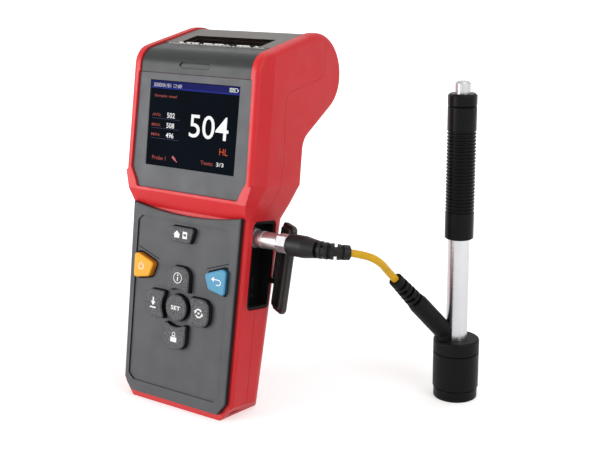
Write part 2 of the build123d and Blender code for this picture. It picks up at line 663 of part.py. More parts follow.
def gear_centre(from_centre, teeth_a, teeth_b, angle):
    """Centre of the next gear, angle from the back (+Y) towards the top."""
    reach = gear_module * (teeth_a + teeth_b) / 2
    a = math.radians(angle)
    return (from_centre[0] + reach * math.cos(a), from_centre[1] + reach * math.sin(a))


def mesh_turn(angle, teeth_a, turn_a, teeth_b):
    """Turn of the second gear so that a gap of its own faces a tooth of the first."""
    pitch_a, pitch_b = 360 / teeth_a, 360 / teeth_b
    phase = ((angle - turn_a) % pitch_a) / pitch_a
    return angle + 180 + (phase - 0.5) * pitch_b


def printer():
    idler_centre = gear_centre(platen_centre, platen_teeth, idler_teeth, idler_angle)
    motor_centre = gear_centre(idler_centre, idler_teeth, motor_teeth, motor_angle)
    idler_turn = mesh_turn(idler_angle, platen_teeth, 0.0, idler_teeth)
    motor_turn = mesh_turn(motor_angle, idler_teeth, idler_turn, motor_teeth)
    gear_low, gear_high = gear_x - gear_wide / 2, gear_x + gear_wide / 2

    # Front cover with its thumb recess
    cover = strip(skin_drop, skin_drop + skin, [(-40, bezel_top + 0.15), (slot_front, bezel_top + 0.15),
                                                (slot_front, beyond), (-40, beyond)])
    thumb = mirrored([(7.4, thumb_low), (9.0, (thumb_low + thumb_high) / 2), (7.8, thumb_high)])
    face = head_front + skin_drop
    scoop = side_outline([(face, thumb_low), (face + thumb_deep, thumb_high), (-30, thumb_high),
                          (-30, thumb_low)])
    cover -= slab(thumb, 0, -30, [0.5] * 6) & extrude(scoop, 20, both=True)
    parts["printer_front_cover"] = cover

    # Toothed tear bar on the cover's rear edge
    bar_top, bar_low = top_line(slot_front) - 0.1, platen_centre[1] + 2.0
    teeth = []
    for i in range(bar_teeth):
        x = -bar_half + 2 * bar_half * i / bar_teeth
        teeth += [(x, bar_top - bar_rise), (x + bar_half / bar_teeth, bar_top)]
    outline = teeth + [(bar_half, bar_top - bar_rise), (bar_half, bar_low), (-bar_half, bar_low)]
    parts["tear_bar"] = slab(outline, slot_front + 0.5, slot_front + 0.05)

    # Lid with its hinge barrel and the ears that carry the platen
    hinge_y, hinge_z = hinge_centre()
    lid = strip(skin_drop, skin_drop + skin, [(slot_back, 140), drum_centre, far_point(hinge_angle, 60),
                                              (slot_back, drum_centre[1] + 60)])
    lid += rod_x(-cover_half, cover_half, hinge_y, hinge_z, hinge_radius)
    y, z = platen_centre
    ear_back, ear_front = y + 6.4, y - 4.0
    ear = [(y - 2.6, z - 2.6), (y + 2.6, z - 2.6), (ear_back, top_line(ear_back, skin_drop + 1.0)),
           (ear_front, top_line(ear_front, skin_drop + 1.0))]
    for side in (-1, 1):
        x = ear_in if side > 0 else -ear_out
        lid += extrude(side_outline(ear, [2.5, 2.5, 0, 0], x), ear_thick)
    lid -= rod_x(-cover_half, cover_half, y, z, platen_shaft + running)
    lid -= rod_x(-beyond, beyond, hinge_y, hinge_z, pin_radius + running)
    slope = math.degrees(math.atan(top_slope))
    middle = (window_front + window_back) / 2
    on_top = Pos(0, middle, top_line(middle, skin_drop)) * Rot(slope, 0, 0)
    deep = (window_back - window_front) / math.cos(math.radians(slope))
    lid -= on_top * Box(2 * window_half, deep, 2 * (window_thick + window_sunk))
    lid -= on_top * Box(2 * (window_half - window_shelf), deep - 2 * window_shelf, 12)
    parts["printer_lid"] = lid
    glass = Box(2 * window_half - fit, deep - fit, window_thick)
    pane = on_top * Pos(0, 0, -window_sunk - window_thick / 2) * glass
    parts["lid_window"] = pane
    parts["lid_hinge_pin"] = rod_x(-pin_reach, pin_reach, hinge_y, hinge_z, pin_radius)

    # Platen: shaft, rubber roller and gear, turning in the lid's ears
    parts["platen_shaft"] = rod_x(gear_low - 0.3, ear_out + 1.0, y, z, platen_shaft)
    parts["platen_roller"] = rod_x(-ear_in + 0.6, ear_in - 0.6, y, z, platen_radius, platen_shaft)
    parts["platen_gear"] = Pos(0, y, z) * gear(platen_teeth, gear_low, gear_high, platen_shaft)
    idler = gear(idler_teeth, gear_low, gear_high, idler_stud + running, idler_turn)
    parts["idler_gear"] = Pos(0, *idler_centre) * idler
    pinion = Pos(0, *motor_centre) * gear(motor_teeth, gear_low, gear_high, 0, motor_turn)
    plate_out, plate_in = gear_high + 0.4, gear_high + 1.4
    pinion += rod_x(gear_high - 0.5, plate_in + 3, *motor_centre, motor_shaft)
    parts["motor_pinion"] = pinion

    # Steel frame: back plate behind the print head, cheek plates, studs and the motor's seat
    head_y = y - platen_radius - 0.85
    head_low, head_high = z - 3.8, z + 0.8
    plate_low, plate_high, plate_back = z - 8.1, z - 4.6, y + 6.4
    frame_low = motor_centre[1] - motor_radius - 1.0
    frame = box(plate_out, -plate_out, head_y - 4.0, head_y - 3.0, plate_low, head_high)
    for x in (plate_out, -plate_in):
        cheek = [(head_y - 4.0, plate_low), (head_y - 4.0, plate_high), (plate_back, plate_high),
                 (plate_back, plate_low)]
        frame += extrude(side_outline(cheek, 0, x), plate_in - plate_out)
    drop = [(motor_centre[0] - motor_radius, frame_low), (motor_centre[0] + motor_radius, frame_low),
            (plate_back, plate_low + 0.2), (head_y - 4.0, plate_low + 0.2)]
    frame += extrude(side_outline(drop, [4, 4, 0, 0], plate_out), plate_in - plate_out)
    frame += rod_x(gear_low - 0.6, plate_in, *idler_centre, idler_stud)
    frame -= rod_x(plate_out - 1, plate_in + 1, *motor_centre, motor_boss + running)
    parts["printer_frame"] = frame
    motor = rod_x(plate_in, plate_in + motor_long, *motor_centre, motor_radius)
    motor -= rod_x(plate_in - 1, plate_in + 3.3, *motor_centre, motor_shaft + running)
    motor += rod_x(plate_in - 1.0, plate_in, *motor_centre, motor_boss, motor_shaft + running)
    parts["printer_motor"] = motor
    sink = box(-ear_in + 0.6, ear_in - 0.6, head_y - 3.0, head_y - 0.8, head_low, head_high)
    sink += box(-ear_in + 0.6, ear_in - 0.6, head_y - 0.8, head_y, head_low + 0.6, head_high - 1.0)
    parts["print_head"] = sink

    # Tray that holds the roll, and the roll with the paper's end led out past the tear bar
    tray_in = roll_radius + 0.2
    tray_out, tray_half = tray_in + 1.2, roll_wide / 2 + 0.8
    centre = Pos(0, *roll_centre)
    arc = extrude(right_plane(0) * (Circle(tray_out) - Circle(tray_in)), tray_half + 1.4, both=True)
    cheeks = extrude(right_plane(tray_half) * Circle(tray_out), 1.4)
    cheeks += mirror(cheeks, Plane.YZ)
    wedge = side_outline([(0, 0), (-40, -11.5), (-40, -60), (6, -60)])
    tray = (arc + (cheeks - box(-60, 60, -60, 60, -1.0, 60))) & extrude(wedge, 40, both=True)
    tray = (centre * tray) & housing_form(wall + 0.05)
    parts["paper_tray"] = tray
    ring = Circle(roll_radius) - Circle(roll_core)
    roll = extrude(right_plane(-roll_wide / 2, *roll_centre) * ring, roll_wide)
    turn_r = platen_radius + 0.4
    leave = math.radians(196)
    start = (roll_centre[0] + (roll_radius - 0.1) * math.cos(leave),
             roll_centre[1] + (roll_radius - 0.1) * math.sin(leave))
    low = (platen_centre[0] + 1.5, platen_centre[1] - turn_r - 0.25)
    corner = (platen_centre[0] - turn_r - 0.25, platen_centre[1] - turn_r - 0.1)
    rise = (platen_centre[0] - turn_r - 0.28, platen_centre[1] + 0.2)
    knee = (slot_front + 1.05, rise[1] + 3.6)
    out = (slot_front + 0.82, top_line(slot_front) + 0.25)
    web = FilletPolyline(start, low, corner, rise, knee, out, radius=[0.5, 2.8, 1.2, 2.0])
    ribbon = trace(web, paper_thick)
    roll += extrude(right_plane(-roll_wide / 2) * ribbon, roll_wide)
    parts["paper_roll"] = roll


# Plug and lead, in the standing frame
def standing(solid):
    """Lean the upright meter back and set its foot on the floor."""
    return to_floor * solid


def plug_axis():
    """Where the plug's axis stands above the floor and behind the origin."""
    point = (to_floor * Pos(0, socket_y, socket_z)).position
    return point.Y, point.Z


def relief_path(steps):
    """Points and headings along the bent strain relief, from the boot to the cable."""
    start, ahead = Vector(boot_end, *plug_axis()), Vector(1, 0, 0)
    tilt = math.radians(relief_tilt)
    aside = Vector(0, math.cos(tilt), -math.sin(tilt))
    for i in range(steps + 1):
        a = math.radians(relief_bend) * i / steps
        yield (start + ahead * relief_radius * math.sin(a) + aside * relief_radius * (1 - math.cos(a)),
               ahead * math.cos(a) + aside * math.sin(a))


def slotted_relief(stations, across, thick, thin):
    """Strain relief along (point, heading) stations: pairs of windows, each a quarter turn from the last."""
    relief = []
    for i, ((p0, d0), (p1, d1)) in enumerate(zip(stations, stations[1:])):
        ends = Plane(origin=p0, x_dir=across, z_dir=d0), Plane(origin=p1, x_dir=across, z_dir=d1)
        radius = thick + (thin - thick) * i / relief_steps
        if i % 2 or i == relief_steps - 1:
            faces = [Circle(radius)]
        else:
            reach = 2 * radius - 0.6
            size = (relief_rib, reach) if i % 4 else (reach, relief_rib)
            faces = [Circle(relief_core), Rectangle(*size)]
        relief += [loft([end * face for end in ends], ruled=True) for face in faces]
    return relief[0].fuse(*relief[1:])


def plug():
    floor = handle_half_top - port_depth
    y, z = plug_axis()

    def ring(x0, x1, radius, bore=0.0):
        return rod_x(x0, x1, y, z, radius, bore)

    shell = ring(floor - 4.5, floor + 3.4, socket_bore - running)
    shell += ring(floor + 3.4, floor + 4.6, plug_ring)
    shell += ring(floor + 4.6, floor + 9.0, plug_radius + 0.15)
    shell += ring(floor + 9.0, nut_start, plug_radius)
    for i in range(24):
        a = 2 * math.pi * i / 24
        cut = Pos(0, y + (plug_radius + 0.2) * math.cos(a), z + (plug_radius + 0.2) * math.sin(a))
        shell -= cut * Rot(math.degrees(a), 0, 0) * Pos(floor + 6.8, 0, 0) * Box(3.4, 0.35, 0.35)
    parts["plug_shell"] = shell
    nut = extrude(right_plane(nut_start, y, z) * RegularPolygon(plug_ring, 6), boot_start - nut_start)
    ends = nut.faces().sort_by(Axis.X)
    nut = chamfer(ends[0].edges() + ends[-1].edges(), 0.3)
    parts["plug_nut"] = nut
    profile = [(0, 0), (boot_radius - 0.4, 0), (boot_radius, 2.0), (boot_radius, 8.0),
               (relief_thick, boot_end - boot_start), (0, boot_end - boot_start)]
    boot = Pos(boot_start, y, z) * Rot(0, 90, 0) * turned(profile, [0, 0.6, 1.5, 4.0, 0, 0])
    tilt = math.radians(relief_tilt)
    boot += slotted_relief(list(relief_path(relief_steps)), Vector(0, math.sin(tilt), math.cos(tilt)),
                           relief_thick, relief_tip_radius)
    parts["plug_boot"] = boot


def cable():
    points = [Vector(*point) for point in cable_route]
    radii = []
    for a, b, c in zip(points, points[1:], points[2:]):
        turn = math.radians((b - a).get_angle(c - b))
        radii.append(0.45 * min((b - a).length, (c - b).length) / math.tan(turn / 2))
    path = FilletPolyline(*points, radius=radii)
    start = Plane(origin=points[0], z_dir=points[1] - points[0])
    tube = sweep(start * Circle(cable_diameter / 2), path=path)
    print("cable runs", [round((b - a).length, 1) for a, b in zip(points, points[1:])],
          "radii", [round(r, 1) for r in radii], "length", round(path.length, 1),
          "volume error", round(tube.volume / (math.pi * cable_diameter ** 2 / 4 * path.length) - 1, 5))
    parts["probe_cable"] = tube


# Impact probe, in its own frame with Z up the tube and 0 on the floor
def coil_spring(low, high, mean, wire, turns):
    """Round wire spring with closed ends left plain."""
    helix = Helix(pitch=(high - low - wire) / turns, height=high - low - wire, radius=mean)
    start = Plane(origin=helix @ 0, z_dir=helix % 0)
    return Pos(0, 0, low + wire / 2) * sweep(start * Circle(wire / 2), path=helix, is_frenet=True)


def probe_levels():
    """Heights inside the probe that follow from the ball, the impact body and the travel."""
    low = ball_height + 2 * ball_radius - ball_sunk
    stem_top = low + body_long + stem_long
    chuck_low = stem_top - stem_grip + sleeve_travel
    return {"body_low": low, "shoulder": low + body_long, "stem_top": stem_top, "chuck_low": chuck_low,
            "seat_low": chuck_low + 2.0, "seat_high": chuck_low + 4.0}


def probe():
    inner = tube_bore
    level = probe_levels()
    ring = turned([(inner + 0.1, 0), (ring_radius, 0), (ring_radius, ring_tall), (inner + 0.1, ring_tall)],
                  [0.3, 0.6, 0.4, 0])
    parts["support_ring"] = ring
    base = turned([(tube_radius, ring_tall), (base_radius - 0.8, ring_tall),
                   (base_radius - 0.8, ring_tall + groove), (base_radius, ring_tall + groove),
                   (base_radius, base_split - groove), (base_radius - 0.6, base_split - groove),
                   (base_radius - 0.6, base_split), (tube_radius, base_split)])
    coil_low, coil_high, coil_out = ring_tall + 2.8, base_split - 3.9, base_radius - 1.8
    base -= turned([(tube_radius - 1, coil_low), (coil_out, coil_low), (coil_out, coil_high),
                    (tube_radius - 1, coil_high)])
    parts["coil_housing"] = base
    bobbin = turned([(tube_radius, coil_low), (coil_out, coil_low), (coil_out, coil_low + 1),
                     (coil_out - 1.2, coil_low + 1), (coil_out - 1.2, coil_high - 1),
                     (coil_out, coil_high - 1), (coil_out, coil_high), (tube_radius, coil_high)])
    parts["sensing_coil"] = bobbin
    tube = turned([(inner, ring_tall), (tube_radius, ring_tall), (tube_radius, tube_top), (inner, tube_top)])
    parts["guide_tube"] = tube

    # Outlet: top ring of the base and the arm that leads the cable out, one moulding
    outlet = turned([(0, base_split), (base_radius, base_split), (base_radius, base_top), (0, base_top)],
                    [0, 0, 0.9, 0])
    elbow = Vector(*elbow_offset, elbow_z)
    outlet += Pos(elbow.X, elbow.Y, (base_split + elbow_z) / 2) * Cylinder(arm_radius, elbow_z - base_split)
    outlet += Pos(elbow) * Sphere(arm_radius)
    end = Vector(*arm_end) - Vector(probe_x, probe_y, 0)
    way = end - elbow
    length = way.length
    plane = Plane(origin=elbow, z_dir=way)
    slots_from = length - arm_relief
    profile = [(0, 0), (arm_radius, 0), (arm_radius, slots_from - 3.0), (relief_thick, slots_from),
               (0, slots_from)]
    outlet += plane * turned(profile)
    heading = way.normalized()
    stations = [(elbow + heading * (slots_from + arm_relief * i / relief_steps), heading)
                for i in range(relief_steps + 1)]
    outlet += slotted_relief(stations, plane.x_dir, relief_thick, arm_tip_radius)
    outlet -= Pos(0, 0, 40) * Cylinder(tube_radius, 80)
    parts["cable_outlet"] = outlet

    # Impact body with its ball, resting in the base
    low, shoulder, stem_top = level["body_low"], level["shoulder"], level["stem_top"]
    body = turned([(0, low), (2.2, low), (body_radius, low + 1.6), (body_radius, shoulder),
                   (stem_radius, shoulder), (stem_radius, stem_top), (0, stem_top)])
    ball = Pos(0, 0, ball_height + ball_radius) * Sphere(ball_radius)
    parts["impact_body"] = body - ball
    parts["ball_tip"] = ball

    # Springs, seat, chuck and sleeve
    chuck_low, seat_low, seat_high = level["chuck_low"], level["seat_low"], level["seat_high"]
    parts["spring_seat"] = turned([(chuck_out + running, seat_low), (inner, seat_low), (inner, seat_high),
                                   (chuck_out + running, seat_high)])
    impact_mean, loading_mean = inner - 0.4 - impact_wire / 2, inner - 0.4 - loading_wire / 2
    parts["impact_spring"] = coil_spring(shoulder + 0.1, seat_low - 0.1, impact_mean, impact_wire, 11)
    parts["loading_spring"] = coil_spring(seat_high + 0.1, flange_low - 0.1, loading_mean, loading_wire, 11)
    sleeve_bore = tube_radius + running
    parts["catch_chuck"] = turned([(chuck_in, chuck_low), (chuck_out, chuck_low), (chuck_out, flange_low),
                                   (sleeve_bore, flange_low), (sleeve_bore, flange_high),
                                   (chuck_in, flange_high)])
    outline = [(sleeve_bore, sleeve_low), (sleeve_radius - 0.3, sleeve_low),
               (sleeve_radius, sleeve_low + 0.3)]
    pitch = (rib_high - rib_low) / rib_count
    for i in range(rib_count):
        z = rib_low + pitch * i
        outline += [(sleeve_radius, z), (sleeve_radius - 0.45, z + 0.2 * pitch),
                    (sleeve_radius - 0.45, z + 0.5 * pitch), (sleeve_radius, z + 0.7 * pitch)]
    outline += [(sleeve_radius, sleeve_split - 0.4), (sleeve_radius - 0.4, sleeve_split),
                (sleeve_bore, sleeve_split)]
    parts["loading_sleeve"] = turned(outline)
    button_bore = button_radius + running
    cap = turned([(chamber_bore, flange_high), (sleeve_bore, flange_high), (sleeve_bore, sleeve_split),
                  (sleeve_radius - 0.4, sleeve_split), (sleeve_radius, sleeve_split + 0.4),
                  (sleeve_radius, sleeve_top - 0.8), (sleeve_radius - 0.8, sleeve_top),
                  (button_bore, sleeve_top), (button_bore, chamber_high), (chamber_bore, chamber_high)])
    parts["sleeve_cap"] = cap
    under = chamber_high - loose
    parts["release_button"] = turned([(0, flange_low + 1), (1.1, flange_low + 1), (1.1, under - 1.0),
                                      (button_flange, under - 1.0), (button_flange, under),
                                      (button_radius, under), (button_radius, button_top - 0.9),
                                      (button_radius - 0.9, button_top), (0, button_top)])
    release_mean = button_radius - 0.65
    parts["release_spring"] = coil_spring(flange_high + 0.05, under - 1.05, release_mean, release_wire, 3)


def build():
    housings()
    display()
    keypad()
    electronics()
    port()
    printer()
    plug()
    cable()
    probe()
    os.makedirs("parts", exist_ok=True)
    for name, solid in parts.items():
        if name in probe_nodes:
            solid = Pos(probe_x, probe_y, 0) * solid
        elif name not in lead_nodes:
            solid = standing(solid)
        export_step(solid, f"parts/{name}.step")


build()
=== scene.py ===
import bmesh
import bpy
import json
import math
from mathutils import Matrix, Vector


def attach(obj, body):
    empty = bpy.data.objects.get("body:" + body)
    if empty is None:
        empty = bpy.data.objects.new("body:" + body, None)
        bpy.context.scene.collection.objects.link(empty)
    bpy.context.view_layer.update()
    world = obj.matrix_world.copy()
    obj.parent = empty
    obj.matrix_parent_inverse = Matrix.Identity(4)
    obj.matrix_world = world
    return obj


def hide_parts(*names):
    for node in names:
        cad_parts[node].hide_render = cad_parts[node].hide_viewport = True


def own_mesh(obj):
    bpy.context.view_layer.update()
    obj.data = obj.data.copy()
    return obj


# Looks of a handheld rebound hardness tester with a built-in printer and its impact probe.
# Camera, floor, lamps and the grain of the finishes are in metres. Places and sizes on the object are in
# millimetres, and those on the meter are given in its upright frame, before it is leaned back.

MM = 0.001

# Camera, as the photograph was taken
CAMERA_PLACE = (0.29658, -0.33511, 0.198105)
CAMERA_RIGHT = (0.81909, 0.57354, -0.01191)
CAMERA_UP = (-0.13845, 0.2178, 0.96612)
CAMERA_LENS = 64.8
SENSOR_WIDE = 36.0
CAMERA_CLIP = (0.01, 20.0)

# The meter's lean and foot, and its front faces
LEAN = math.radians(-9.5)
FOOT = (0.0, -1.85, 2.2005)
FRONT = (0.0, -math.cos(LEAN), -math.sin(LEAN))     # the way the keys and the display face
WINDOW_FRONT = -13.2
LENS_FRONT = -14.8
FIELD_FRONT = -14.3
KEY_FRONT = -17.0
SCREEN_LEFT, SCREEN_TOP = -24.48, 141.46
SCREEN_WIDE, SCREEN_TALL = 48.96, 36.72
PRINT_THICK = 0.03
THUMB_BOX = (-8.2, 8.6, 147.3, 149.4)               # thumb recess of the front cover: X and Z
PAPER_END = (151.6, -1.0)                           # the paper's torn end: above this Z and before this Y

# Lead from the probe's arm to the plug
CABLE_ROUTE = [(80.695, 39.987, 59.015), (79.31, 36.78, 62.74), (79.6, 29.67, 68.9), (77.18, 23.01, 73.21),
               (72.34, 16.76, 75.11)]
CABLE_DIAMETER = 3.2

# Springs: body, joint that presses them, height of the fixed end and travel of the other
SPRINGS = {"impact_spring": ("root", "impactor_lift", 73.0, 22.0),
           "loading_spring": ("root", "sleeve_load", 75.0, 22.0),
           "release_spring": ("sleeve", "button_press", 122.0, 3.0)}

# Middle of each key on the front: X and Z
KEY_PLACES = {"home_key": (0.0, 77.1), "power_key": (-21.3, 60.2), "back_key": (21.3, 60.2),
              "info_key": (0.0, 58.4), "down_key": (-12.9, 45.3), "set_key": (0.0, 45.3),
              "cycle_key": (12.9, 45.3), "print_key": (0.0, 32.4)}

# Painted shade in the joint round the left coloured key, mirrored for the right one: X and Z of its corners,
# and of the line that runs to the field's edge, painted dark the same way
SEAM_CORNERS = [(-25.8, 65.4), (-23.4, 65.8), (-14.2, 62.6), (-16.7, 56.3), (-25.6, 54.6)]
SEAM_ROUND, SEAM_INNER, SEAM_OUTER = 1.5, 0.25, 0.85
SEAM_LINE = [(-13.4, 64.3), (-25.4, 68.3)]
SEAM_LINE_WIDE = 0.35

# Painted shade on faces that turn away from the meter's front, painted light in the thumb recess, and gaps
# in torn paper
KEYPAD_SIDE_SHADE = (0.006, 0.006, 0.007)
KEY_SIDE_SHADE = (0.008, 0.008, 0.009)
YELLOW_SIDE_SHADE = (0.55, 0.17, 0.01)
BLUE_SIDE_SHADE = (0.012, 0.07, 0.13)
THUMB_PAINTED_LIGHT = (0.12, 0.126, 0.12)
PAPER_GAP = (0.02, 0.02, 0.02)

# CAD nodes with a finish of their own, apart from their material slot
OWN_FINISH = {"tear_bar": "tear_steel"}

# Studio: how bright the white surroundings are as light on the object, and the floor, whose own white grows
# from the first to the second value of FLOOR_GLOW over the distances of FLOOR_FADE
SURROUNDINGS_LIGHT = 0.38
FLOOR_REACH = 3.0
FLOOR_COLOUR = (0.78, 0.78, 0.78, 1)
FLOOR_FADE, FLOOR_GLOW = (0.12, 0.6), (0.5, 1.0)

# Lamps: name, place, width and power in watts
LAMP_AIM = (0.05, 0.02, 0.08)
LAMPS = [("key_lamp", (-0.9, -1.15, 0.3), 0.9, 21.0), ("side_lamp", (1.2, -0.3, 0.7), 0.8, 7.0),
         ("top_lamp", (0.1, 0.5, 1.4), 0.9, 5.0)]

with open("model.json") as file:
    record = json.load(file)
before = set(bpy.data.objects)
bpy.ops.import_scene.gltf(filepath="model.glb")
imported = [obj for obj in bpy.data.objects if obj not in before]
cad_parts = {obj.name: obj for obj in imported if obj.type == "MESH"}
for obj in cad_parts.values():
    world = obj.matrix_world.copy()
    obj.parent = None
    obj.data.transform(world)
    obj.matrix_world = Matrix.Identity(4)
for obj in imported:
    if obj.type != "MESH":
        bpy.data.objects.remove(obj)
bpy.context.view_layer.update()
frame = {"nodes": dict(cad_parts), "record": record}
nodes = frame["nodes"]
slot_of = {part["node"]: part["material_slot"] for part in frame["record"]["subparts"]}
upright = Matrix.Rotation(LEAN, 4, "X") @ Matrix.Translation([-v * MM for v in FOOT])


def put(name, data):
    """New object in the scene."""
    made = bpy.data.objects.new(name, data)
    bpy.context.scene.collection.objects.link(made)
    return made


# Camera
def set_camera():
    camera = put("camera", bpy.data.cameras.new("camera"))
    right, up = Vector(CAMERA_RIGHT), Vector(CAMERA_UP)
    turn = Matrix((right, up, right.cross(up))).transposed().to_4x4()
    camera.matrix_world = Matrix.Translation(CAMERA_PLACE) @ turn
    camera.data.lens = CAMERA_LENS
    camera.data.sensor_width = SENSOR_WIDE
    camera.data.clip_start, camera.data.clip_end = CAMERA_CLIP
    bpy.context.scene.camera = camera


# Materials
class Finish:
    """A procedural material whose nodes read the object's own coordinates, in metres."""

    def __init__(self, name, rough, metal=0.0, gloss=0.5, edge=0.0):
        self.name = name
        self.material = bpy.data.materials.new(name)
        self.material.use_nodes = True
        self.tree = self.material.node_tree
        self.shader = self.tree.nodes["Principled BSDF"]
        self.shader.inputs["Roughness"].default_value = rough
        self.shader.inputs["Metallic"].default_value = metal
        self.shader.inputs["Specular IOR Level"].default_value = gloss
        self.coordinates = self.node("ShaderNodeTexCoord")
        self.place = self.coordinates.outputs["Object"]
        self.relief = None
        if edge:
            soft = self.node("ShaderNodeBevel")
            soft.inputs["Radius"].default_value = edge * MM
            self.relief = soft.outputs["Normal"]
            self.join(self.relief, self.shader.inputs["Normal"])

    def node(self, kind, **values):
        made = self.tree.nodes.new(kind)
        for name, value in values.items():
            setattr(made, name, value)
        return made

    def join(self, source, target):
        self.tree.links.new(source, target)

    def noise(self, size, detail=3.0, stretch=(1, 1, 1)):
        """Noise with features about size metres across, stretched along an axis by stretch."""
        mapping = self.node("ShaderNodeMapping")
        self.join(self.place, mapping.inputs["Vector"])
        mapping.inputs["Scale"].default_value = [1 / s for s in stretch]
        noise = self.node("ShaderNodeTexNoise")
        self.join(mapping.outputs["Vector"], noise.inputs["Vector"])
        noise.inputs["Scale"].default_value = 1 / size
        noise.inputs["Detail"].default_value = detail
        return noise.outputs["Fac"]

    def ramp(self, source, stops):
        """Colour ramp from (place, colour) stops."""
        ramp = self.node("ShaderNodeValToRGB")
        self.join(source, ramp.inputs["Fac"])
        elements = ramp.color_ramp.elements
        for element, (place, colour) in zip(elements, stops):
            element.position, element.color = place, (*colour, 1)
        for place, colour in stops[2:]:
            elements.new(place).color = (*colour, 1)
        return ramp.outputs["Color"]

    def spread(self, source, low, high, to_low=0.0, to_high=1.0):
        """Maps low..high of a value to to_low..to_high."""
        made = self.node("ShaderNodeMapRange")
        self.join(source, made.inputs["Value"])
        for name, value in (("From Min", low), ("From Max", high), ("To Min", to_low), ("To Max", to_high)):
            made.inputs[name].default_value = value
        return made.outputs["Result"]

    def both(self, one, other):
        """Product of two values."""
        made = self.node("ShaderNodeMath", operation="MULTIPLY")
        self.join(one, made.inputs[0])
        self.join(other, made.inputs[1])
        return made.outputs[0]

    def over(self, share, colour):
        """Puts a colour over the base colour, by a share of 0 to 1."""
        mix = self.node("ShaderNodeMix", data_type="RGBA")
        base = self.shader.inputs["Base Color"]
        self.join(share, mix.inputs[0])
        self.join(base.links[0].from_socket, mix.inputs[6])
        mix.inputs[7].default_value = (*colour, 1)
        self.join(mix.outputs[2], base)
        return self

    def paint(self, colour, vary=0.08, size=0.012):
        """Base colour with a slow drift in brightness."""
        low, high = [c * (1 - vary) for c in colour], [min(1.0, c * (1 + vary)) for c in colour]
        self.join(self.ramp(self.noise(size), [(0.3, low), (0.7, high)]), self.shader.inputs["Base Color"])
        return self

    def sides(self, colour, low=0.45, high=0.72):
        """Painted shade: a darker colour where the surface turns away from the meter's front."""
        facing = self.node("ShaderNodeVectorMath", operation="DOT_PRODUCT")
        self.join(self.coordinates.outputs["Normal"], facing.inputs[0])
        facing.inputs[1].default_value = FRONT
        return self.over(self.spread(facing.outputs["Value"], low, high, 1.0, 0.0), colour)

    def upright_parts(self):
        """X, Y and Z in the upright meter's frame."""
        back = self.node("ShaderNodeMapping")
        self.join(self.place, back.inputs["Vector"])
        back.inputs["Rotation"].default_value = (-LEAN, 0, 0)
        back.inputs["Location"].default_value = [v * MM for v in FOOT]
        parts = self.node("ShaderNodeSeparateXYZ")
        self.join(back.outputs["Vector"], parts.inputs[0])
        return parts.outputs

    def patch(self, box, colour, soft=0.15):
        """Another colour inside a box of the upright meter, given as X and Z limits in millimetres. It
        paints the light in the thumb recess.
        """
        parts, share = self.upright_parts(), None
        for axis, edge, way in (("X", box[0], 1), ("X", box[1], -1), ("Z", box[2], 1), ("Z", box[3], -1)):
            inside = self.spread(parts[axis], (edge - way * soft) * MM, (edge + way * soft) * MM)
            share = self.both(share, inside) if share else inside
        return self.over(share, colour)

    def torn(self, height, back):
        """Dark gaps in a torn edge, above a height and before a depth of the upright meter."""
        parts = self.upright_parts()
        above = self.spread(parts["Z"], (height - 0.1) * MM, height * MM)
        before = self.spread(parts["Y"], (back + 0.1) * MM, back * MM)
        gaps = self.spread(self.noise(0.0035, 4.0), 0.5, 0.53)
        return self.over(self.both(self.both(above, before), gaps), PAPER_GAP)

    def sheen_drift(self, low, high, size=0.008, stretch=(1, 1, 1)):
        """Roughness that drifts between two values over the surface."""
        drift = self.spread(self.noise(size, stretch=stretch), 0.3, 0.7, low, high)
        self.join(drift, self.shader.inputs["Roughness"])
        return self

    def grain(self, size, height, stretch=(1, 1, 1), detail=2.0):
        """Fine relief, height metres deep."""
        bump = self.node("ShaderNodeBump")
        self.join(self.noise(size, detail, stretch), bump.inputs["Height"])
        bump.inputs["Distance"].default_value = height
        if self.relief:
            self.join(self.relief, bump.inputs["Normal"])
        self.relief = bump.outputs["Normal"]
        self.join(self.relief, self.shader.inputs["Normal"])
        return self

    def glow(self, colour, dim=0.93, size=0.004):
        """Light of its own, with a slow drift."""
        self.shader.inputs["Emission Strength"].default_value = 1.0
        low = [c * dim for c in colour]
        drift = self.ramp(self.noise(size), [(0.3, low), (0.7, colour)])
        self.join(drift, self.shader.inputs["Emission Color"])
        return self

    def see_through(self, index):
        """Lets light through, with an index of refraction."""
        self.shader.inputs["Transmission Weight"].default_value = 1.0
        self.shader.inputs["IOR"].default_value = index
        return self


def speckled(name, dark, light, rough):
    """Rubber with fine light specks in it."""
    made = Finish(name, rough, gloss=0.2, edge=0.25)
    specks = made.ramp(made.noise(0.0004, 2.0), [(0.42, dark), (0.62, light)])
    made.join(specks, made.shader.inputs["Base Color"])
    return made.grain(0.0003, 0.00004)


def lit(name, colour):
    """Lit part of the display."""
    return Finish(name, 0.6, gloss=0.0).paint((0.01, 0.01, 0.012), 0.1).glow(colour)


